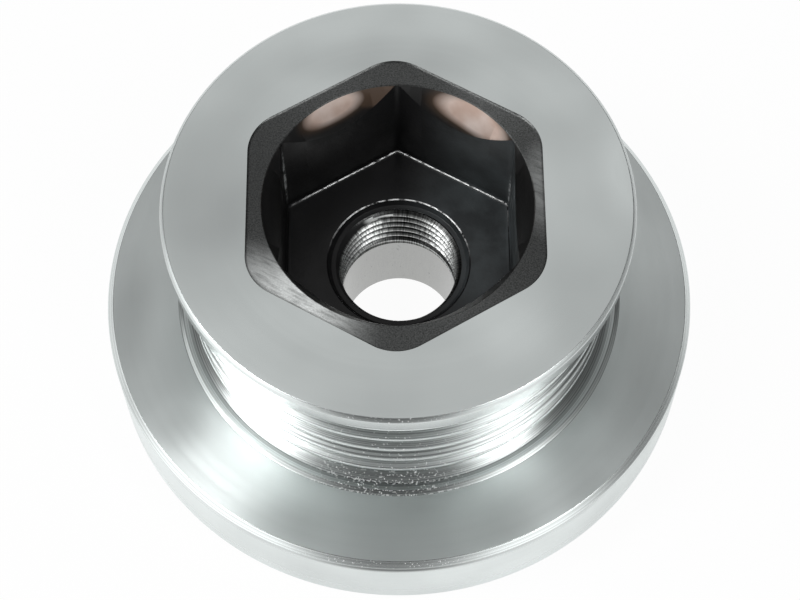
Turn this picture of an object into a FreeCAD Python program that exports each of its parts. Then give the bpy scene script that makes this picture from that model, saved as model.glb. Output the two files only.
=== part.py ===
"""Alternator pulley for a six-rib belt, with a hexagon socket in its front end.

One forged and turned steel piece. Millimetres, +Z along the axis towards the socket, and the origin
at the centre of the flange's back face, on which the pulley stands.
"""
import FreeCAD, Part
import math
import os

# The back flange
flange_radius = 42.4
flange_thickness = 13.4
flange_front_chamfer = 0.85
flange_back_chamfer = 1.0

# The raised ring between the last groove and the flange's front face, with a 45 degree outer edge
shoulder_height = 0.5
shoulder_inner_radius = 30.3
shoulder_outer_radius = 31.45

# The ribbed belt track
groove_count = 6
rib_pitch = 3.56
groove_angle = 40.0
groove_root_width = 0.7
rib_crest_radius = 29.8
rib_crest_width = 0.45

# The plain rim in front of the belt track
rim_radius = 32.0
rim_land_width = 2.2
rim_chamfer = 0.5
rim_back_slope = 46.0

# The shallow forged recess around the socket's mouth, a little off the turned axis
recess_across_flats = 39.9
recess_corner_radius = 6.3
recess_depth = 0.2
recess_offset = -0.35

# The hexagon socket, and the cone that leads into it from just outside its corners
socket_across_flats = 32.0
socket_corner_radius = 1.2
socket_depth = 18.0
socket_foot_fillet = 0.7
lead_in_margin = 0.06
lead_in_half_angle = 27.0

# The round seat in the socket's floor
seat_radius = 10.1
seat_depth = 0.8
seat_wall_run = 0.5

# The M18 x 1.5 thread at its pitch diameter, below the seat, and the plain bore behind it
thread_pitch_radius = 8.51
thread_length = 9.1
thread_chamfer = 0.4
bore_radius = 8.25
bore_chamfer = 0.3

# How far a cut runs past the face that it opens
overrun = 1.0

# Places that follow from the sizes above, as radii and as heights over the back face
groove_slope = math.tan(math.radians(groove_angle / 2))
half_groove_mouth = (rib_pitch - rib_crest_width) / 2
groove_apex_radius = rib_crest_radius - half_groove_mouth / groove_slope
groove_root_radius = groove_apex_radius + groove_root_width / 2 / groove_slope
shoulder_top = flange_thickness + shoulder_height
last_groove_height = shoulder_top + (shoulder_inner_radius - groove_apex_radius) * groove_slope
first_groove_height = last_groove_height + (groove_count - 1) * rib_pitch
track_top = first_groove_height + half_groove_mouth
land_bottom = track_top + (rim_radius - rib_crest_radius) * math.tan(math.radians(rim_back_slope))
land_top = land_bottom + rim_land_width
front_face = land_top + rim_chamfer
recess_floor = front_face - recess_depth
socket_floor = front_face - socket_depth
seat_floor = socket_floor - seat_depth
thread_bottom = seat_floor - thread_length


def point(radius, height):
    """A corner of the turned outline, in the XZ plane."""
    return FreeCAD.Vector(radius, 0, height)


def rounded_corner(before, corner, after, radius):
    """The start, middle and end of the arc that rounds the corner between two straight runs."""
    towards_before = (before - corner).normalize()
    towards_after = (after - corner).normalize()
    towards_centre = (towards_before + towards_after).normalize()
    half_angle = towards_before.getAngle(towards_after) / 2
    reach = radius / math.tan(half_angle)
    middle = corner + towards_centre * (radius / math.sin(half_angle) - radius)
    return corner + towards_before * reach, middle, corner + towards_after * reach


def cone(low_radius, low_height, high_radius, high_height):
    """A cone on the axis between two circles."""
    base = FreeCAD.Vector(0, 0, low_height)
    return Part.makeCone(low_radius, high_radius, high_height - low_height, base)


def cylinder(radius, low_height, high_height):
    """A cylinder on the axis between two heights."""
    return Part.makeCylinder(radius, high_height - low_height, FreeCAD.Vector(0, 0, low_height))


def rounded_hexagon_prism(across_flats, corner_radius, bottom, top, offset=0.0):
    """An upright hexagonal prism with rounded corners, two of which point along Y."""
    corner_distance = across_flats / math.sqrt(3)
    corners = []
    for number in range(6):
        bearing = math.radians(30 + 60 * number)
        x = offset + corner_distance * math.cos(bearing)
        corners.append(FreeCAD.Vector(x, corner_distance * math.sin(bearing), bottom))
    arcs = [
        rounded_corner(before, corner, after, corner_radius)
        for before, corner, after in zip(corners[-1:] + corners, corners, corners[1:] + corners[:1])
    ]
    edges = []
    for arc, next_arc in zip(arcs, arcs[1:] + arcs[:1]):
        edges.append(Part.Arc(*arc).toShape())
        edges.append(Part.makeLine(arc[2], next_arc[0]))
    return Part.Face(Part.Wire(edges)).extrude(FreeCAD.Vector(0, 0, top - bottom))


def groove(height):
    """The front edge of one groove and the two ends of its flat root."""
    return [
        point(rib_crest_radius, height + half_groove_mouth),
        point(groove_root_radius, height + groove_root_width / 2),
        point(groove_root_radius, height - groove_root_width / 2),
    ]


def turned_blank():
    """The rim, belt track, shoulder and flange, turned as one outline and still solid inside."""
    outline = [
        point(0, front_face),
        point(rim_radius - rim_chamfer, front_face),
        point(rim_radius, land_top),
        point(rim_radius, land_bottom),
    ]
    for number in range(groove_count - 1):
        height = first_groove_height - number * rib_pitch
        rib_front = point(rib_crest_radius, height - half_groove_mouth)
        outline += groove(height) + [rib_front]
    outline += groove(last_groove_height) + [
        point(shoulder_inner_radius, shoulder_top),
        point(shoulder_outer_radius, shoulder_top),
        point(shoulder_outer_radius + shoulder_height, flange_thickness),
        point(flange_radius - flange_front_chamfer, flange_thickness),
        point(flange_radius, flange_thickness - flange_front_chamfer),
        point(flange_radius, flange_back_chamfer),
        point(flange_radius - flange_back_chamfer, 0),
        point(0, 0),
        point(0, front_face),
    ]
    half_section = Part.Face(Part.makePolygon(outline))
    return half_section.revolve(FreeCAD.Vector(0, 0, 0), FreeCAD.Vector(0, 0, 1), 360)


def mouth_recess():
    """The shallow hexagon with well-rounded corners that surrounds the socket's mouth."""
    top = front_face + overrun
    return rounded_hexagon_prism(
        recess_across_flats, recess_corner_radius, recess_floor, top, recess_offset)


def lead_in():
    """The cone that opens just outside the socket's corners and cuts a crescent from each wall."""
    corner_rounding = socket_corner_radius * (2 / math.sqrt(3) - 1)
    corner_reach = socket_across_flats / math.sqrt(3) - corner_rounding
    slope = math.tan(math.radians(lead_in_half_angle))
    mouth_radius = corner_reach + lead_in_margin
    inner_radius = socket_across_flats / 2 - overrun * slope
    depth = (mouth_radius - inner_radius) / slope
    return cone(inner_radius, recess_floor - depth, mouth_radius, recess_floor)


def hexagon_socket():
    """The socket's walls and floor, with a small fillet around the foot of the walls."""
    prism = rounded_hexagon_prism(
        socket_across_flats, socket_corner_radius, socket_floor, front_face)
    foot = [edge for edge in prism.Edges if edge.BoundBox.ZMax < socket_floor + overrun]
    return prism.makeFillet(socket_foot_fillet, foot)


def bore_cuts():
    """The seat, the threaded stretch and the plain bore, with a chamfer at each end."""
    return [
        cone(seat_radius - seat_wall_run, seat_floor, seat_radius, socket_floor),
        cone(thread_pitch_radius, seat_floor - thread_chamfer,
             thread_pitch_radius + thread_chamfer, seat_floor),
        cylinder(thread_pitch_radius, thread_bottom, seat_floor),
        cylinder(bore_radius, 0, thread_bottom),
        cone(bore_radius + bore_chamfer, 0, bore_radius, bore_chamfer),
    ]


def alternator_pulley():
    """The whole pulley: the turned blank less the recess, lead-in, socket and bore."""
    cuts = [mouth_recess(), lead_in(), hexagon_socket()] + bore_cuts()
    return turned_blank().cut(cuts).removeSplitter()


os.makedirs("parts", exist_ok=True)
alternator_pulley().exportStep("parts/pulley.step")
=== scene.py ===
"""Looks for a turned steel alternator pulley with a blackened hexagon socket.

Metres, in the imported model's frame: +Z along the axis towards the socket, and the origin at the
centre of the back face, on which the pulley stands. Sizes are written in millimetres times mm.
"""

import math

import bmesh
import bpy
from mathutils import Matrix, Vector


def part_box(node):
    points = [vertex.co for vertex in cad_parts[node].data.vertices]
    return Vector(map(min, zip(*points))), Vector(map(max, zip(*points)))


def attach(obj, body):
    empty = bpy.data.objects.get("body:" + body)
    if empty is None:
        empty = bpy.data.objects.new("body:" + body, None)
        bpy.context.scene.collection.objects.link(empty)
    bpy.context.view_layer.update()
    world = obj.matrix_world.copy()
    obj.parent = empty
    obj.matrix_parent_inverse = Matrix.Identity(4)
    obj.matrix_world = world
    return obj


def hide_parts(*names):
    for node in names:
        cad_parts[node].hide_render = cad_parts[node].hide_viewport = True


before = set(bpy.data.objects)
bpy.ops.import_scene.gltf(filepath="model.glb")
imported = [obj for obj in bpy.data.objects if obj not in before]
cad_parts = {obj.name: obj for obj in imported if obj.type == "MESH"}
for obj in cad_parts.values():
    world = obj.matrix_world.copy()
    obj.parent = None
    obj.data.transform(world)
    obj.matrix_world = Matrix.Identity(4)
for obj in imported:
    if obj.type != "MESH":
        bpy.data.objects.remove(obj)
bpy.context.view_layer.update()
mm = 0.001

# The camera. It stands over the front of the pulley and looks steeply down into the socket, with a
# long lens, as the photograph does.
camera_place = Vector((0.0, -132.46, 281.75)) * mm
camera_target = Vector((0.136, 0.0, 9.68)) * mm
camera_roll = math.radians(-0.53)
camera_data = bpy.data.cameras.new("camera")
camera_data.sensor_width = 36.0
camera_data.lens = 92.54
camera_data.clip_start = 0.01
camera = bpy.data.objects.new("camera", camera_data)
bpy.context.scene.collection.objects.link(camera)
line_of_sight = (camera_target - camera_place).to_track_quat("-Z", "Y").to_matrix()
turned_camera = line_of_sight @ Matrix.Rotation(camera_roll, 3, "Z")
camera.matrix_world = Matrix.Translation(camera_place) @ turned_camera.to_4x4()
bpy.context.scene.camera = camera

# The table. A plain white sheet that runs out of view, seen as white by the eye and in polished
# metal, with the pulley's soft shadow still on it.
bpy.context.scene.view_settings.view_transform = "Standard"
sheet_half_size = 3.0
sheet_colour = (0.95, 0.95, 0.95, 1.0)
white_to_eye = 0.96
white_in_metal = 0.75


def added(tree, kind, inputs=None, **settings):
    """Adds a shader node, with its settings, and with each input set or joined to a socket."""
    made = tree.nodes.new("ShaderNode" + kind)
    for name, value in settings.items():
        setattr(made, name, value)
    for name, value in (inputs or {}).items():
        if isinstance(value, bpy.types.NodeSocket):
            tree.links.new(value, made.inputs[name])
        else:
            made.inputs[name].default_value = value
    return made


def maths(tree, operation, *values):
    """What a Math node makes of its values."""
    return added(tree, "Math", dict(enumerate(values)), operation=operation).outputs[0]


table_material = bpy.data.materials.new("white_table")
table_material.use_nodes = True
table_tree = table_material.node_tree
table_tree.nodes.clear()
seen_by = added(table_tree, "LightPath").outputs
to_eye = maths(table_tree, "MAXIMUM", seen_by["Is Camera Ray"], seen_by["Is Transmission Ray"])
whiteness_to_eye = maths(table_tree, "MULTIPLY", to_eye, white_to_eye)
whiteness = maths(table_tree, "MULTIPLY_ADD", seen_by["Is Glossy Ray"], white_in_metal,
                  whiteness_to_eye)
table_paint = added(table_tree, "BsdfDiffuse", {"Color": sheet_colour})
table_white = added(table_tree, "Emission")
table_mix = added(table_tree, "MixShader", {0: whiteness, 1: table_paint.outputs[0],
                                            2: table_white.outputs[0]})
added(table_tree, "OutputMaterial", {"Surface": table_mix.outputs[0]})

table_shape = bmesh.new()
bmesh.ops.create_grid(table_shape, x_segments=1, y_segments=1, size=sheet_half_size)
table_mesh = bpy.data.meshes.new("table")
table_shape.to_mesh(table_mesh)
table_shape.free()
table_mesh.materials.append(table_material)
table = bpy.data.objects.new("table", table_mesh)
bpy.context.scene.collection.objects.link(table)

# The room. A soft grey tent that darkens to both sides, with white cards standing low in front to
# the left and right, and a dark gap between the cards where it opens behind the camera.
tent_top = Vector((0.0, 0.8, 0.6))
tent_opening = Vector((-0.05, -0.80, 0.60))
tent_widths = ((-1.0, 0.15), (-0.5, 0.38), (-0.14, 1.0), (0.1, 1.0), (0.42, 0.28), (1.0, 0.08))
card_widths = ((-1.0, 0.5), (-0.98, 1.2), (-0.93, 1.5), (0.7, 1.4), (0.9, 0.3), (1.0, 0.15))
room = bpy.data.worlds.new("room")
room.use_nodes = True
room_tree = room.node_tree
room_tree.nodes.clear()
way = added(room_tree, "TexCoord").outputs["Generated"]
way_parts = added(room_tree, "SeparateXYZ", {0: way}).outputs


def by_width(stops):
    """A level that changes from left to right in the room, given as (x, level) stops."""
    share = added(room_tree, "MapRange", {"Value": way_parts["X"], "From Min": -1.0})
    made = added(room_tree, "ValToRGB", {0: share.outputs[0]})
    elements = made.color_ramp.elements
    elements[0].color = (stops[0][1],) * 3 + (1.0,)
    elements[1].color = (stops[-1][1],) * 3 + (1.0,)
    for x, level in stops[1:-1]:
        elements.new((x + 1.0) / 2).color = (level,) * 3 + (1.0,)
    return made.outputs["Color"]


def along(direction):
    """How far the way looked points along one direction."""
    made = added(room_tree, "VectorMath", {0: way, 1: direction}, operation="DOT_PRODUCT")
    return made.outputs["Value"]


def eased(value, start, end, lowest=0.0):
    """A share that eases from lowest at start to 1 at end."""
    made = added(room_tree, "MapRange", {"Value": value, "From Min": start, "From Max": end,
                                         "To Min": lowest}, interpolation_type="SMOOTHSTEP")
    return made.outputs[0]


cloth = added(room_tree, "MapRange", {"Value": along(tent_top), "From Min": -0.4, "From Max": 1.0,
                                      "To Min": 0.18, "To Max": 0.62})
tent = maths(room_tree, "MULTIPLY", cloth.outputs[0], by_width(tent_widths))
card_share = maths(room_tree, "MULTIPLY", eased(way_parts["Z"], 0.56, 0.46),
                   eased(way_parts["Y"], 0.4, 0.1))
lit = added(room_tree, "Mix", {0: card_share, 2: tent, 3: by_width(card_widths)})
behind_camera = eased(along(tent_opening), 0.97, 0.80, 0.1)
room_light = added(room_tree, "Background", {
    "Color": (1.0, 1.0, 1.0, 1.0),
    "Strength": maths(room_tree, "MULTIPLY", lit.outputs[0], behind_camera)})
added(room_tree, "OutputWorld", {"Surface": room_light.outputs[0]})
bpy.context.scene.world = room

# The lamps. Two soft boxes with cloth fronts, which stand over the left and right front of the
# pulley. The left one is the larger and the brighter.
lamp_aim = Vector((0.0, 0.0, 20.0)) * mm


def soft_box(name, place, width, height, strength):
    """A rectangular lamp with a cloth front, aimed at the pulley, with its radiance as strength."""
    data = bpy.data.lights.new(name, "AREA")
    data.shape = "RECTANGLE"
    data.size = width
    data.size_y = height
    data.energy = strength * width * height * math.pi
    lamp = bpy.data.objects.new(name, data)
    aim = (lamp_aim - Vector(place)).to_track_quat("-Z", "Y").to_matrix().to_4x4()
    lamp.matrix_world = Matrix.Translation(place) @ aim
    bpy.context.scene.collection.objects.link(lamp)


soft_box("left_lamp", (-0.540, -0.150, 0.80), width=0.30, height=0.40, strength=10.2)
soft_box("right_lamp", (0.442, -0.318, 0.80), width=0.24, height=0.34, strength=7.6)

# The turned outside: rim, six-groove belt track, shoulder, wide flange and back. It is bare steel
# cut in one setting, so every edge is sharp but for a fine break.
high_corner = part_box("pulley")[1]
flange_radius = high_corner.x
front_face = high_corner.z
flange_thickness = 13.4 * mm
flange_front_chamfer = 0.85 * mm
flange_back_chamfer = 1.0 * mm
rim_radius = 32.0 * mm
rim_chamfer = 0.5 * mm
rim_land_width = 2.2 * mm
land_bottom = front_face - rim_chamfer - rim_land_width
groove_count = 6
rib_pitch = 3.56 * mm
rib_radius = 29.8 * mm
rib_crest = 0.45 * mm
groove_root = 0.7 * mm
groove_half_angle = math.radians(20.0)
groove_slope = math.tan(groove_half_angle)
groove_mouth = rib_pitch - rib_crest
groove_floor_radius = rib_radius - (groove_mouth - groove_root) / 2 / groove_slope
shoulder_inner_radius = 30.3 * mm
shoulder_outer_radius = 31.45 * mm
shoulder_height = 0.5 * mm
shoulder_top = flange_thickness + shoulder_height
last_groove = shoulder_top + groove_root / 2 + (
    shoulder_inner_radius - groove_floor_radius) * groove_slope
edge_break = 0.07 * mm
rib_break = 0.13 * mm
shoulder_break = 0.14 * mm
steel_colour = (0.78, 0.825, 0.817)
chip_colour = (0.97, 0.98, 0.98, 1.0)
lightest_steel = 0.98
ring_shades = (0.96, 1.03)
roughness_swing = 0.04
chip_edge = 0.08

# How the points of a turned row are moved afterwards.
PLAIN, FORGED, RECESS, LEAD_IN, THREAD = range(5)


def outside_rows():
    """The outside as (radius, height, kind, edge break) rows, from the rim down to the back."""
    rows = [
        (rim_radius - rim_chamfer, front_face, PLAIN, edge_break),
        (rim_radius, front_face - rim_chamfer, PLAIN, edge_break),
        (rim_radius, land_bottom, PLAIN, edge_break),
    ]
    for number in range(groove_count):
        height = last_groove + (groove_count - 1 - number) * rib_pitch
        rows += [
            (rib_radius, height + groove_mouth / 2, PLAIN, rib_break),
            (groove_floor_radius, height + groove_root / 2, PLAIN, edge_break),
            (groove_floor_radius, height - groove_root / 2, PLAIN, edge_break),
        ]
        if number < groove_count - 1:
            rows.append((rib_radius, height - groove_mouth / 2, PLAIN, rib_break))
    return rows + [
        (shoulder_inner_radius, shoulder_top, PLAIN, shoulder_break),
        (shoulder_outer_radius, shoulder_top, PLAIN, edge_break),
        (shoulder_outer_radius + shoulder_height, flange_thickness, PLAIN, shoulder_break),
        (flange_radius - flange_front_chamfer, flange_thickness, PLAIN, edge_break),
        (flange_radius, flange_thickness - flange_front_chamfer, PLAIN, edge_break),
        (flange_radius, flange_back_chamfer, PLAIN, edge_break),
        (flange_radius - flange_back_chamfer, 0.0, PLAIN, edge_break),
    ]


def new_group(name, inputs, output):
    """An empty shader node group with named sockets, its inputs as (name, kind, first value)."""
    group = bpy.data.node_groups.new(name, "ShaderNodeTree")
    for socket_name, kind, first_value in inputs:
        socket = group.interface.new_socket(
            name=socket_name, in_out="INPUT", socket_type="NodeSocket" + kind)
        socket.default_value = first_value
    group.interface.new_socket(name=output, in_out="OUTPUT", socket_type="NodeSocketFloat")
    result = group.nodes.new("NodeGroupOutput").inputs[output]
    return group, group.nodes.new("NodeGroupInput").outputs, result


def grain_group():
    """Noise of a set size, as a share that runs from 0 at its low level to 1 at its high one."""
    group, given, result = new_group("grain", (
        ("Place", "Vector", (0.0, 0.0, 0.0)), ("Size", "Float", 1.0), ("Detail", "Float", 3.0),
        ("Low", "Float", 0.0), ("High", "Float", 1.0)), "Share")
    noise = added(group, "TexNoise", {
        "Vector": given["Place"], "Scale": maths(group, "DIVIDE", 1.0, given["Size"]),
        "Detail": given["Detail"]})
    share = added(group, "MapRange", {"Value": noise.outputs["Fac"], "From Min": given["Low"],
                                      "From Max": given["High"]})
    group.links.new(share.outputs[0], result)
    return group


def feed_marks_group():
    """The fine rings that a lathe's tool leaves: noise by radius and height, never around."""
    group, given, result = new_group("feed_marks", (
        ("Place", "Vector", (0.0, 0.0, 0.0)), ("Spacing", "Float", 1.0),
        ("Detail", "Float", 2.0)), "Height")
    parts = added(group, "SeparateXYZ", {0: given["Place"]}).outputs
    across = added(group, "CombineXYZ", {"X": parts["X"], "Y": parts["Y"]})
    radius = added(group, "VectorMath", {0: across.outputs[0]}, operation="LENGTH")
    ring = added(group, "CombineXYZ", {"X": radius.outputs["Value"], "Y": parts["Z"]})
    noise = added(group, "TexNoise", {
        "Vector": ring.outputs[0], "Scale": maths(group, "DIVIDE", 1.0, given["Spacing"]),
        "Detail": given["Detail"]}, noise_dimensions="2D")
    group.links.new(noise.outputs["Fac"], result)
    return group


def soft_patch_group():
    """A soft-edged oval patch by place: 1 in its middle and 0 outside its half sizes."""
    group, given, result = new_group("soft_patch", (
        ("Place", "Vector", (0.0, 0.0, 0.0)), ("Centre", "Vector", (0.0, 0.0, 0.0)),
        ("Turn", "Float", 0.0), ("Half_Sizes", "Vector", (1.0, 1.0, 1.0)),
        ("Core", "Float", 0.4)), "Share")
    away = added(group, "VectorMath", {0: given["Place"], 1: given["Centre"]},
                 operation="SUBTRACT")
    turned = added(group, "VectorRotate", {
        "Vector": away.outputs[0], "Angle": maths(group, "MULTIPLY", given["Turn"], -1.0)},
        rotation_type="Z_AXIS")
    in_half_sizes = added(group, "VectorMath", {0: turned.outputs[0], 1: given["Half_Sizes"]},
                          operation="DIVIDE")
    reach = added(group, "VectorMath", {0: in_half_sizes.outputs[0]}, operation="LENGTH")
    share = added(group, "MapRange", {"Value": reach.outputs["Value"], "From Min": 1.0,
                                      "From Max": given["Core"]}, interpolation_type="SMOOTHSTEP")
    group.links.new(share.outputs[0], result)
    return group


grain = grain_group()
feed_marks = feed_marks_group()
soft_patch = soft_patch_group()


def use(tree, group, **values):
    """Places a node group in a tree, with each named input set or joined."""
    placed = tree.nodes.new("ShaderNodeGroup")
    placed.node_tree = group
    for name, value in values.items():
        socket = placed.inputs[name]
        if isinstance(value, bpy.types.NodeSocket):
            tree.links.new(value, socket)
        else:
            socket.default_value = value
    return placed.outputs[0]


def patch_share(tree, place, centre, half_sizes, core, turn=0.0):
    """A soft patch, with its centre and half sizes in millimetres and its turn in degrees."""
    return use(tree, soft_patch, Place=place, Centre=Vector(centre) * mm, Turn=math.radians(turn),
               Half_Sizes=Vector(half_sizes) * mm, Core=core)


def new_material(name, metallic):
    """A material with its tree, its shader and the object's own coordinates."""
    material = bpy.data.materials.new(name)
    material.use_nodes = True
    tree = material.node_tree
    shader = tree.nodes["Principled BSDF"]
    shader.inputs["Metallic"].default_value = metallic
    return material, tree, shader, added(tree, "TexCoord").outputs["Object"]


def scaled(colour, level):
    """A colour made darker or lighter before it goes into a node."""
    return tuple(part * level for part in colour)


def ramp(tree, share, *stops):
    """Colours by share, given as (share, colour) stops from low to high."""
    made = added(tree, "ValToRGB", {0: share})
    elements = made.color_ramp.elements
    elements[0].position, elements[0].color = stops[0][0], (*stops[0][1], 1.0)
    elements[1].position, elements[1].color = stops[-1][0], (*stops[-1][1], 1.0)
    for position, colour in stops[1:-1]:
        elements.new(position).color = (*colour, 1.0)
    return made.outputs["Color"]


def between(tree, share, low, high):
    """A level that runs from low to high with a share."""
    return added(tree, "MapRange", {"Value": share, "To Min": low, "To Max": high}).outputs[0]


def blended(tree, share, first, second):
    """Two colours blended by share."""
    return added(tree, "Mix", {0: share, 6: first, 7: second}, data_type="RGBA").outputs[2]


def times(tree, vector, level):
    """A colour or a place times a level."""
    return added(tree, "VectorMath", {0: vector, "Scale": level}, operation="SCALE").outputs[0]


def lathe_grain(tree, shader, spread):
    """Stretches a highlight across the rings that turning leaves around the axis."""
    shader.inputs["Anisotropic"].default_value = spread
    shader.inputs["Anisotropic Rotation"].default_value = 0.25
    around = added(tree, "Tangent", direction_type="RADIAL", axis="Z")
    tree.links.new(around.outputs[0], shader.inputs["Tangent"])


def raised(tree, shader, height, depth):
    """Fine relief: a bump whose height share stands for one depth."""
    bump = added(tree, "Bump", {"Height": height, "Distance": depth})
    tree.links.new(bump.outputs[0], shader.inputs["Normal"])


def turned_finish(name, colour, roughness, spread, mark_depth, smudge, painted_patches=()):
    """Bare turned steel with feed marks, faint broad smudges and patches of painted highlight and
    shade.
    """
    material, tree, shader, place = new_material(name, 1.0)
    lathe_grain(tree, shader, spread)
    broad = use(tree, feed_marks, Place=place, Spacing=1.3 * mm, Detail=3.0)
    cloud = use(tree, grain, Place=place, Size=16 * mm, Detail=1.5, Low=0.3, High=0.7)
    shade = maths(tree, "MULTIPLY_ADD", cloud, smudge, 1.0 - smudge / 2)
    level = maths(tree, "MULTIPLY", shade, between(tree, broad, *ring_shades))
    # Painted highlight and shade: each patch lightens or darkens the colour.
    for centre, half_sizes, change in painted_patches:
        share = patch_share(tree, place, centre, half_sizes, core=0.1)
        mark = maths(tree, "MULTIPLY_ADD", share, change, 1.0)
        level = maths(tree, "MULTIPLY", level, mark)
    held = maths(tree, "MINIMUM", level, lightest_steel / max(colour))
    tree.links.new(times(tree, colour, held), shader.inputs["Base Color"])
    polish = between(tree, broad, roughness - roughness_swing, roughness + roughness_swing)
    tree.links.new(polish, shader.inputs["Roughness"])
    raised(tree, shader, use(tree, feed_marks, Place=place, Spacing=0.11 * mm), mark_depth)
    return material


def torn_finish(name, dark, light, roughness, chips_from, chip_height, spread=0.0, front_shade=0.0):
    """Steel cut less cleanly: dark ring streaks and, at the front, bright chips and some painted
    shade.
    """
    material, tree, shader, place = new_material(name, 1.0)
    shader.inputs["Roughness"].default_value = roughness
    lathe_grain(tree, shader, spread)
    streaks = use(tree, feed_marks, Place=place, Spacing=0.25 * mm)
    steel = ramp(tree, streaks, (0.35, scaled(steel_colour, dark)),
                 (0.65, scaled(steel_colour, light)))
    front = patch_share(tree, place, (-2.0, -36.0, 16.0), (17.0, 14.0, 80.0), core=0.35)
    chips = use(tree, grain, Place=place, Size=0.26 * mm, Detail=0.0, Low=chips_from,
                High=chips_from + chip_edge)
    torn = maths(tree, "MULTIPLY", chips, front)
    # Painted shade: the colour darkens towards the front.
    shaded = times(tree, steel, maths(tree, "MULTIPLY_ADD", front, -front_shade, 1.0))
    tree.links.new(blended(tree, torn, shaded, chip_colour), shader.inputs["Base Color"])
    raised(tree, shader, torn, chip_height)
    return material


# Painted highlights and shade, as (centre, half sizes, change of level) in millimetres: patches
# that lighten or darken the steel. The last one is painted shade, a dull band just under the
# flange's front edge.
flange_painted_light = (
    ((4.0, -41.0, 13.4), (24.0, 9.0, 3.0), -0.22),
    ((15.0, -35.5, 13.4), (8.5, 9.0, 3.0), -0.33),
    ((36.0, -14.0, 13.4), (8.0, 16.0, 3.0), -0.18),
    ((24.5, -33.0, 13.4), (8.0, 7.0, 3.0), -0.22),
    ((-17.0, -36.0, 13.4), (9.0, 7.0, 3.0), -0.25),
    ((-31.0, -22.0, 13.4), (5.0, 5.0, 3.0), -0.18),
    ((-39.0, -3.0, 13.4), (5.0, 14.0, 3.0), -0.18),
    ((33.3, 13.0, 13.4), (3.5, 10.0, 3.0), 0.12),
    ((24.5, -21.5, 13.4), (7.0, 6.0, 3.0), 0.17),
    ((-7.0, -32.0, 13.4), (15.0, 4.0, 3.0), 0.17),
    ((-1.0, -42.4, 12.1), (19.0, 8.0, 1.1), -0.78),
)
# Painted light and shade on the front face: darker to the left and at the back, lighter to the
# right.
face_painted_light = (
    ((-26.0, -3.0, 40.0), (14.0, 20.0, 5.0), -0.24),
    ((-2.0, 22.5, 40.0), (20.0, 6.0, 5.0), -0.15),
    ((31.5, 6.0, 40.0), (6.0, 15.0, 5.0), 0.18),
    ((22.0, 17.5, 40.0), (7.0, 7.0, 5.0), 0.15),
    ((14.0, -18.0, 40.0), (10.0, 9.0, 5.0), 0.1),
)
turned_steel = turned_finish("turned_steel", steel_colour, roughness=0.29, spread=0.9,
                             mark_depth=0.0012 * mm, smudge=0.16, painted_patches=flange_painted_light)
faced_steel = turned_finish("faced_steel", steel_colour, roughness=0.23, spread=0.5,
                            mark_depth=0.001 * mm, smudge=0.2, painted_patches=face_painted_light)
rim_steel = turned_finish("rim_steel", steel_colour, roughness=0.2, spread=0.3,
                          mark_depth=0.001 * mm, smudge=0.16)
# The dark and light levels of these copies of one steel hold painted light: the grooves are
# darkened as painted shade and the crests lightened as painted highlight.
groove_steel = torn_finish("groove_steel", dark=0.36, light=0.84, roughness=0.33,
                           chips_from=0.72, chip_height=0.02 * mm, spread=0.5)
last_groove_steel = torn_finish("last_groove_steel", dark=0.34, light=0.74, roughness=0.3,
                                chips_from=0.66, chip_height=0.04 * mm, spread=0.8, front_shade=0.2)
crest_steel = torn_finish("crest_steel", dark=0.95, light=1.15, roughness=0.45,
                          chips_from=0.68, chip_height=0.01 * mm)
shoulder_steel = torn_finish("shoulder_steel", dark=0.55, light=0.95, roughness=0.32,
                             chips_from=0.7, chip_height=0.02 * mm, spread=0.8, front_shade=0.35)
slope_steel = torn_finish("slope_steel", dark=0.55, light=0.95, roughness=0.3,
                          chips_from=0.7, chip_height=0.02 * mm, spread=0.9, front_shade=0.45)
burred_steel = torn_finish("burred_edge", dark=0.35, light=0.95, roughness=0.36,
                           chips_from=0.52, chip_height=0.05 * mm, spread=0.8, front_shade=0.3)
rim_edge_steel = torn_finish("rim_edge", dark=0.85, light=1.1, roughness=0.34,
                             chips_from=0.7, chip_height=0.012 * mm, spread=0.4, front_shade=0.5)
broken_edge_steel = torn_finish("broken_edge", dark=0.78, light=1.08, roughness=0.24,
                                chips_from=0.72, chip_height=0.012 * mm, front_shade=0.2)

# The bore: a short countersink, nine millimetres of 1.5 mm thread, and a plain bored stretch that
# runs out through a small chamfer at the back.
bore_radius = 8.25 * mm
bore_chamfer = 0.3 * mm
countersink_width = 0.7 * mm
seat_radius = 10.1 * mm
seat_wall_run = 0.5 * mm
socket_depth = 18.0 * mm
socket_floor = front_face - socket_depth
seat_depth = 0.8 * mm
seat_floor = socket_floor - seat_depth
thread_length = 9.1 * mm
thread_bottom = seat_floor - thread_length
thread_depth = 0.7 * mm
thread_pitch = 1.5 * mm
thread_rows_per_pitch = 10
thread_row_gap = 0.002 * mm
thread_rows = math.ceil(((seat_floor - thread_bottom) / thread_pitch + 1) * thread_rows_per_pitch)
# Shares of a turn: from the front to the X axis, and over which the rows drop back at the front.
front_to_x = 0.25
thread_return = 8 / 360
# Shares of the pitch.
crest_half_width = 0.05
flank_width = 0.3
chatter_marks = 48.0
chatter_length = 2.5 * mm
black_colour = (0.009, 0.009, 0.0095)


def bore_rows():
    """The hole as rows, from the back face up to the edge of the seat in the socket's floor."""
    rows = [
        (bore_radius + bore_chamfer, 0.0, PLAIN, edge_break),
        (bore_radius, bore_chamfer, PLAIN, edge_break),
        (bore_radius, thread_bottom, PLAIN, 0.0),
    ]
    for number in range(1, thread_rows + 1):
        height = thread_bottom + (seat_floor - thread_bottom) * number / (thread_rows + 1)
        rows.append((bore_radius, height, THREAD, 0.0))
    return rows + [
        (bore_radius + countersink_width, seat_floor, PLAIN, 0.0),
        (seat_radius - seat_wall_run, seat_floor, PLAIN, edge_break),
        (seat_radius, socket_floor, PLAIN, rib_break),
    ]


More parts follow.
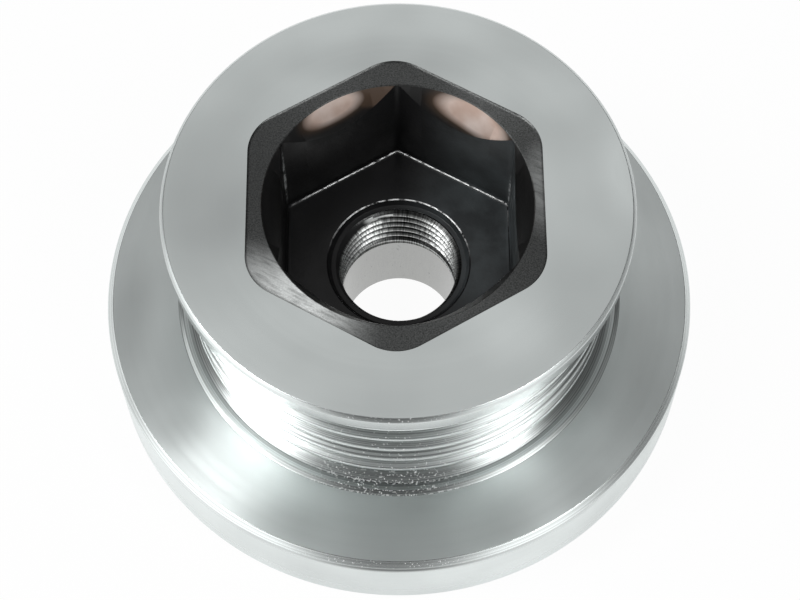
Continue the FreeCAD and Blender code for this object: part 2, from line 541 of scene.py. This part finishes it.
def thread_height(bearing, row_height):
    """Where a row of the thread stands: it climbs with the turn and drops back at the front."""
    number = round((row_height - thread_bottom) / (seat_floor - thread_bottom) * (thread_rows + 1))
    turn = (bearing / (2 * math.pi) + front_to_x) % 1.0
    if turn > 1 - thread_return:
        turn = (1 - thread_return) * (1 - turn) / thread_return
    pitches = (number - thread_rows_per_pitch) / thread_rows_per_pitch + turn
    lowest = thread_bottom + number * thread_row_gap
    highest = seat_floor - (thread_rows + 1 - number) * thread_row_gap
    return min(max(thread_bottom + pitches * thread_pitch, lowest), highest)


def countersink_reach(height):
    """The radius of the 45 degree countersink at one height."""
    return bore_radius + countersink_width - (seat_floor - height)


def thread_reach(bearing, height):
    """The radius of the right-hand thread's wall: narrow crests and 60 degree grooves."""
    turn = (height - thread_bottom) / thread_pitch - bearing / (2 * math.pi) - front_to_x
    off_crest = abs((turn + 0.5 - crest_half_width) % 1.0 - 0.5)
    flank = min(max((off_crest - crest_half_width) / flank_width, 0.0), 1.0)
    fade_out = min((height - thread_bottom) / thread_pitch, 1.0)
    return max(bore_radius + thread_depth * flank * fade_out, countersink_reach(height))


def chatter_group():
    """Short marks along the axis, side by side around the wall of a hole, as a share."""
    group, given, result = new_group("chatter", (
        ("Place", "Vector", (0.0, 0.0, 0.0)), ("Marks_Around", "Float", 100.0),
        ("Length", "Float", 1.0)), "Share")
    parts = added(group, "SeparateXYZ", {0: given["Place"]}).outputs
    across = added(group, "CombineXYZ", {"X": parts["X"], "Y": parts["Y"]})
    bearing = added(group, "VectorMath", {0: across.outputs[0]}, operation="NORMALIZE")
    around = times(group, bearing.outputs[0], given["Marks_Around"])
    around_parts = added(group, "SeparateXYZ", {0: around}).outputs
    place = added(group, "CombineXYZ", {"X": around_parts["X"], "Y": around_parts["Y"],
                                        "Z": maths(group, "DIVIDE", parts["Z"], given["Length"])})
    noise = added(group, "TexNoise", {"Vector": place.outputs[0], "Scale": 1.0, "Detail": 1.0})
    share = added(group, "MapRange", {"Value": noise.outputs["Fac"], "From Min": 0.35,
                                      "From Max": 0.6})
    group.links.new(share.outputs[0], result)
    return group


chatter = chatter_group()


def bored_finish(name, colour, roughness, tick_shade, tick_depth, root_shade):
    """A cut wall of the hole: chatter marks, a few dark pits, and painted shade down in the roots.
    """
    material, tree, shader, place = new_material(name, 1.0)
    shader.inputs["Roughness"].default_value = roughness
    ticks = use(tree, chatter, Place=place, Marks_Around=chatter_marks, Length=chatter_length)
    wall = ramp(tree, ticks, (0.0, scaled(colour, tick_shade)), (1.0, colour))
    specks = use(tree, grain, Place=place, Size=0.35 * mm, Low=0.69, High=0.74)
    pitted = blended(tree, specks, wall, (*scaled(colour, 0.35), 1.0))
    flat_place = added(tree, "VectorMath", {0: place, 1: (1.0, 1.0, 0.0)}, operation="MULTIPLY")
    radius = added(tree, "VectorMath", {0: flat_place.outputs[0]}, operation="LENGTH")
    # Painted shade: the colour darkens towards the thread's roots.
    painted_root_shade = added(tree, "MapRange", {"Value": radius.outputs["Value"], "From Min": bore_radius,
                                   "From Max": bore_radius + 0.5 * thread_depth,
                                   "To Min": 1.0, "To Max": root_shade})
    tree.links.new(times(tree, pitted, painted_root_shade.outputs[0]), shader.inputs["Base Color"])
    raised(tree, shader, ticks, tick_depth)
    return material


def countersunk_finish():
    """The countersink, black but for a painted highlight: a pale sliver on the far side where the
    thread starts.
    """
    material, tree, shader, place = new_material("countersunk_steel", 0.0)
    # Painted highlight: a pale sliver on the far side of the countersink.
    sliver = patch_share(tree, place, (0.8, 8.2, 20.7), (7.4, 2.4, 0.7), core=0.7)
    tree.links.new(ramp(tree, sliver, (0.0, black_colour), (1.0, (0.94, 0.96, 0.95))),
                   shader.inputs["Base Color"])
    ticks = use(tree, chatter, Place=place, Marks_Around=chatter_marks, Length=chatter_length)
    tree.links.new(between(tree, ticks, 0.42, 0.5), shader.inputs["Roughness"])
    return material


bored_steel = bored_finish("bored_steel", (0.48, 0.485, 0.475), roughness=0.24,
                           tick_shade=0.97, tick_depth=0.001 * mm, root_shade=1.0)
countersunk_steel = countersunk_finish()
thread_steel = bored_finish("thread_steel", (0.84, 0.86, 0.85), roughness=0.29,
                            tick_shade=0.3, tick_depth=0.006 * mm, root_shade=0.1)

# The socket: a forged hexagon, 32 mm across its flats, with a small fillet round the foot of its
# walls. It keeps its black oxide, but for bright metal along the far edges of its floor: painted
# glints, partly wear.
socket_half_flats = 16.0 * mm
socket_corner_radius = 1.2 * mm
socket_fillet = 0.7 * mm
fillet_steps = 6
half_sector = math.pi / 6


def hexagon_reach(bearing, half_flats, corner_radius):
    """How far a rounded hexagon with two corners on Y reaches from its centre on one bearing."""
    off_flat = abs((bearing + half_sector) % (math.pi / 3) - half_sector)
    flat_end = (half_flats - corner_radius) * math.tan(half_sector)
    if off_flat <= math.atan2(flat_end, half_flats):
        return half_flats / math.cos(off_flat)
    arc_centre = (half_flats - corner_radius) / math.cos(half_sector)
    off_corner = half_sector - off_flat
    across = arc_centre * math.sin(off_corner)
    return arc_centre * math.cos(off_corner) + math.sqrt(corner_radius ** 2 - across ** 2)


corner_reach = hexagon_reach(math.pi / 2, socket_half_flats, socket_corner_radius)


def socket_rows():
    """The fillet at the foot of the walls, as rows that stand at the corners' distance."""
    rows = []
    for step in range(fillet_steps + 1):
        angle = math.pi / 2 * step / fillet_steps
        inset = socket_fillet * (1 - math.sin(angle))
        height = socket_floor + socket_fillet * (1 - math.cos(angle))
        rows.append((corner_reach - inset, height, FORGED, 0.0))
    return rows


def oxide_finish():
    """Black oxide with a fine grain, a faint grey painted light to the right, and painted glints up
    two of the corners.
    """
    material, tree, shader, place = new_material("black_oxide", 0.0)
    shader.inputs["Specular IOR Level"].default_value = 0.3
    mottle = use(tree, grain, Place=place, Size=5 * mm, Detail=5.0, Low=0.35, High=0.7)
    # Painted light: a faint grey lightening over the right of the socket.
    painted_light_patch = patch_share(tree, place, (13.0, 4.0, 29.0), (16.0, 20.0, 24.0), core=0.2)
    grey = maths(tree, "MULTIPLY", between(tree, mottle, 0.35, 1.0), painted_light_patch)
    oxide = ramp(tree, grey, (0.0, black_colour), (1.0, (0.085, 0.098, 0.103)))
    # Painted glints: bright lines up two of the far corners.
    left_line = patch_share(tree, place, (-15.84, 9.15, 30.5), (0.4, 0.4, 9.0), core=0.3)
    right_line = patch_share(tree, place, (15.84, 9.15, 26.0), (0.3, 0.3, 5.0), core=0.3)
    line_grain = use(tree, grain, Place=place, Size=0.7 * mm, Low=0.42, High=0.6)
    corner_glints = maths(tree, "MULTIPLY", maths(tree, "MAXIMUM", left_line, right_line), line_grain)
    tree.links.new(blended(tree, corner_glints, oxide, (0.5, 0.52, 0.52, 1.0)),
                   shader.inputs["Base Color"])
    tree.links.new(between(tree, mottle, 0.28, 0.46), shader.inputs["Roughness"])
    raised(tree, shader, use(tree, grain, Place=place, Size=0.5 * mm), 0.025 * mm)
    return material


def glint_and_wear_edge_finish():
    """Edges on the far side of the floor, bright in places: painted glints, partly wear."""
    material, tree, shader, place = new_material("glint_and_wear_edge", 1.0)
    shader.inputs["Roughness"].default_value = 0.5
    highlight_and_wear = use(tree, grain, Place=place, Size=1.0 * mm, Detail=5.0, Low=0.36, High=0.54)
    # Painted glint, partly wear: bright only on the far side of the floor.
    far_side = patch_share(tree, place, (1.5, 12.0, 21.5), (19.0, 14.0, 9.0), core=0.5)
    tree.links.new(ramp(tree, maths(tree, "MULTIPLY", highlight_and_wear, far_side),
                        (0.0, (0.02, 0.02, 0.021)), (1.0, (0.85, 0.86, 0.86))),
                   shader.inputs["Base Color"])
    raised(tree, shader, use(tree, grain, Place=place, Size=0.3 * mm), 0.04 * mm)
    return material


black_oxide = oxide_finish()
glint_and_wear_edge = glint_and_wear_edge_finish()

# The mouth: a shallow forged recess with rounded corners, a little off the axis, and inside it the
# turned lead-in that cuts a crescent from the top of each of the socket's walls.
lead_in_half_angle = math.radians(27.0)
lead_in_slope = math.tan(lead_in_half_angle)
lead_in_margin = 0.06 * mm
mouth_radius = corner_reach + lead_in_margin
recess_half_flats = 19.95 * mm
recess_corner_radius = 6.3 * mm
recess_depth = 0.2 * mm
recess_offset = -0.35 * mm
recess_floor = front_face - recess_depth
# The recess's floor edge, wall and broken top edge, as (inset, height) rings.
recess_rings = (
    (0.3 * mm, recess_floor),
    (0.08 * mm, recess_floor + 0.3 * recess_depth),
    (0.0, front_face - edge_break),
    (-edge_break, front_face),
)
ring_spacing = 1.0 * mm
rings_inside = 3


def mouth_rows():
    """The lead-in, the mouth's edge and the recess, as rows out to the front face."""
    rows = [
        (corner_reach, recess_floor - 1.2 * lead_in_margin, LEAD_IN, 0.0),
        (mouth_radius - edge_break, recess_floor - edge_break / lead_in_slope, PLAIN, 0.0),
        (mouth_radius + edge_break, recess_floor, PLAIN, 0.0),
    ]
    for number, (_, height) in enumerate(recess_rings, rings_inside):
        rows.append((corner_reach + number * ring_spacing, height, RECESS, 0.0))
    return rows


def worn_recess_finish():
    """Oxide mostly turned away to grey steel, sandy in grain, with brushed patches at the lower
    left and right lightened as painted highlight.
    """
    material, tree, shader, place = new_material("worn_recess", 1.0)
    lathe_grain(tree, shader, 0.8)
    sand = use(tree, grain, Place=place, Size=0.2 * mm, Detail=4.0, Low=0.3, High=0.7)
    # Painted highlight, partly wear: brushed patches at the lower left and right are lightened
    # where the lamps' highlights fall.
    left = patch_share(tree, place, (-13.6, -14.2, 39.8), (14.0, 6.4, 9.0), core=0.25, turn=-36.0)
    right = patch_share(tree, place, (19.5, 2.0, 39.8), (4.0, 9.0, 9.0), core=0.2)
    highlight_and_wear = maths(tree, "MAXIMUM", left, maths(tree, "MULTIPLY", right, 0.5))
    along_edge = added(tree, "VectorRotate", {"Vector": place, "Angle": math.radians(30.0)},
                       rotation_type="Z_AXIS")
    drawn_out = added(tree, "VectorMath", {0: along_edge.outputs[0], 1: (0.2, 1.0, 1.0)},
                      operation="MULTIPLY")
    brushed = use(tree, grain, Place=drawn_out.outputs[0], Size=0.5 * mm, Low=0.05, High=0.6)
    bright = maths(tree, "MULTIPLY", highlight_and_wear, brushed)
    level = maths(tree, "MULTIPLY_ADD", bright, 0.62, between(tree, sand, 0.055, 0.16))
    tree.links.new(times(tree, (0.97, 1.0, 0.99), level), shader.inputs["Base Color"])
    tree.links.new(between(tree, sand, 0.3, 0.42), shader.inputs["Roughness"])
    raised(tree, shader, sand, 0.006 * mm)
    return material


def lead_in_finish():
    """Black oxide with warm pale patches on the two far crescents, soft at their edges."""
    material, tree, shader, place = new_material("lead_in_warm_patches", 0.0)
    shader.inputs["Roughness"].default_value = 0.4
    left = patch_share(tree, place, (-8.9, 15.0, 38.8), (6.6, 4.6, 3.2), core=0.25, turn=28.0)
    right = patch_share(tree, place, (10.5, 13.6, 38.2), (8.8, 4.6, 3.5), core=0.25, turn=-36.0)
    tail = patch_share(tree, place, (-3.4, 17.2, 38.9), (4.4, 3.0, 2.6), core=0.2, turn=20.0)
    warm = maths(tree, "MAXIMUM", left, right)
    cloud = use(tree, grain, Place=place, Size=4 * mm, Low=0.35, High=0.65)
    warm_patch_colour = ramp(tree, cloud, (0.0, (0.58, 0.43, 0.36)), (1.0, (0.76, 0.64, 0.58)))
    brown_fringe = ramp(tree, maths(tree, "MAXIMUM", warm, tail), (0.0, (0.008, 0.008, 0.008)),
                 (0.4, (0.075, 0.048, 0.032)))
    covered = added(tree, "MapRange", {"Value": warm, "From Min": 0.25, "From Max": 0.8})
    tree.links.new(blended(tree, covered.outputs[0], brown_fringe, warm_patch_colour), shader.inputs["Base Color"])
    raised(tree, shader, use(tree, grain, Place=place, Size=0.3 * mm), 0.008 * mm)
    return material


worn_recess = worn_recess_finish()
lead_in_warm_patches = lead_in_finish()

# The pulley as one closed piece of steel: its half section turned right round the axis, and the
# rows of the socket, recess and thread then moved out to their shapes.
columns = 360
break_steps = 2
sharp_angle = math.radians(32.0)
smallest_rounding = 0.1 * mm


def half_section(rows):
    """A closed wire in the XZ plane, each corner tagged with its kind and the sharp ones broken."""
    wire = bmesh.new()
    kind = wire.verts.layers.int.new("kind")
    corners = []
    for radius, height, row_kind, _ in rows:
        corner = wire.verts.new((radius, 0.0, height))
        corner[kind] = row_kind
        corners.append(corner)
    for start, end in zip(corners, corners[1:] + corners[:1]):
        wire.edges.new((start, end))
    for size in (edge_break, rib_break, shoulder_break):
        sharp = [corner for corner, row in zip(corners, rows) if row[3] == size]
        bmesh.ops.bevel(wire, geom=sharp, affect="VERTICES", offset=size, segments=break_steps,
                        profile=0.5, material=-1)
    return wire


def shape_rows(blank):
    """Moves the socket, lead-in, recess and thread from their turned rings to their shapes."""
    kind = blank.verts.layers.int["kind"]
    for vertex in blank.verts:
        bearing = math.atan2(vertex.co.y, vertex.co.x)
        radius = math.hypot(vertex.co.x, vertex.co.y)
        height = vertex.co.z
        shift = 0.0
        if vertex[kind] == FORGED:
            inset = corner_reach - radius
            rounding = max(socket_corner_radius - inset, smallest_rounding)
            radius = hexagon_reach(bearing, socket_half_flats - inset, rounding)
        elif vertex[kind] == LEAD_IN:
            radius = hexagon_reach(bearing, socket_half_flats, socket_corner_radius)
            height = recess_floor - (mouth_radius - radius) / lead_in_slope
        elif vertex[kind] == RECESS:
            number = round((radius - corner_reach) / ring_spacing)
            inset = recess_rings[number - rings_inside][0]
            shift = recess_offset
            radius = hexagon_reach(
                bearing, recess_half_flats - inset, recess_corner_radius - inset)
        elif vertex[kind] == THREAD:
            height = thread_height(bearing, height)
            radius = thread_reach(bearing, height)
        vertex.co = (shift + radius * math.cos(bearing), radius * math.sin(bearing), height)


FINISHES = (
    turned_steel, faced_steel, rim_steel, groove_steel, last_groove_steel, crest_steel,
    shoulder_steel, slope_steel, burred_steel, rim_edge_steel, broken_edge_steel, bored_steel,
    countersunk_steel, thread_steel, black_oxide, glint_and_wear_edge, worn_recess, lead_in_warm_patches,
)
# Where one finish gives way to the next, for the middle of a face.
face_skin = 0.01 * mm
level_upward = 0.999
slope_upward = math.sqrt(0.5)
chamfer_upward = (0.5, 0.85)
crest_upward = 0.93
crest_reach = rib_radius - 0.2 * mm
track_reach = rim_radius - 0.1 * mm
shoulder_foot_reach = shoulder_outer_radius + shoulder_height + 0.3 * mm
burr_top = shoulder_top + 0.05 * mm
mouth_edge_bottom = recess_floor - 0.3 * mm
glint_and_wear_strip = (socket_floor + 0.1 * mm, socket_floor + 0.2 * mm)
seat_edge_reach = seat_radius - 0.2 * mm
countersink_play = 0.03 * mm


def outside_finish(reach, height, upward):
    """The finish of a face of the turned outside, by its place and slope."""
    if height > front_face - face_skin:
        return faced_steel
    if reach < shoulder_foot_reach and flange_thickness < height < burr_top:
        if upward > level_upward:
            return shoulder_steel
        return slope_steel if abs(upward - slope_upward) < 0.01 else burred_steel
    if (chamfer_upward[0] < abs(upward) < chamfer_upward[1]
            and reach > rim_radius - rim_chamfer):
        return rim_edge_steel if height > land_bottom else broken_edge_steel
    if shoulder_top < height < land_bottom and reach < track_reach:
        if reach > crest_reach and abs(upward) < crest_upward:
            return crest_steel
        return last_groove_steel if height < last_groove else groove_steel
    return rim_steel if height > land_bottom else turned_steel


def inside_finish(kinds, reach, height):
    """The finish of a face inside the recess's outline, by the rows that it lies between."""
    if RECESS in kinds:
        return worn_recess if height < front_face - face_skin else faced_steel
    if LEAD_IN in kinds and FORGED not in kinds:
        return lead_in_warm_patches
    if height > mouth_edge_bottom:
        return worn_recess
    if FORGED in kinds:
        return glint_and_wear_edge if glint_and_wear_strip[0] < height < glint_and_wear_strip[1] else black_oxide
    if height > seat_floor - face_skin and reach > bore_radius + countersink_width:
        return glint_and_wear_edge if reach > seat_edge_reach else black_oxide
    if THREAD in kinds and abs(reach - countersink_reach(height)) < countersink_play:
        return countersunk_steel
    return thread_steel if THREAD in kinds else bored_steel


pulley_shape = half_section(outside_rows() + bore_rows() + socket_rows() + mouth_rows())
bmesh.ops.spin(pulley_shape, geom=pulley_shape.verts[:] + pulley_shape.edges[:],
               cent=(0, 0, 0), axis=(0, 0, 1), angle=2 * math.pi, steps=columns, use_merge=True)
shape_rows(pulley_shape)
bmesh.ops.recalc_face_normals(pulley_shape, faces=pulley_shape.faces[:])
kind_layer = pulley_shape.verts.layers.int["kind"]
for face in pulley_shape.faces:
    face.smooth = True
    middle = face.calc_center_median()
    middle_reach = math.hypot(middle.x, middle.y)
    face_kinds = {vertex[kind_layer] for vertex in face.verts}
    if face_kinds == {PLAIN} and middle_reach > recess_half_flats:
        finish = outside_finish(middle_reach, middle.z, face.normal.z)
    else:
        finish = inside_finish(face_kinds, middle_reach, middle.z)
    face.material_index = FINISHES.index(finish)

pulley_mesh = bpy.data.meshes.new("turned_pulley")
pulley_shape.to_mesh(pulley_mesh)
pulley_shape.free()
pulley_mesh.set_sharp_from_angle(angle=sharp_angle)
for finish in FINISHES:
    pulley_mesh.materials.append(finish)
pulley = bpy.data.objects.new("turned_pulley", pulley_mesh)
bpy.context.scene.collection.objects.link(pulley)
flat_faces = pulley.modifiers.new("flat_faces", "WEIGHTED_NORMAL")
flat_faces.keep_sharp = True
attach(pulley, "root")
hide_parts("pulley")
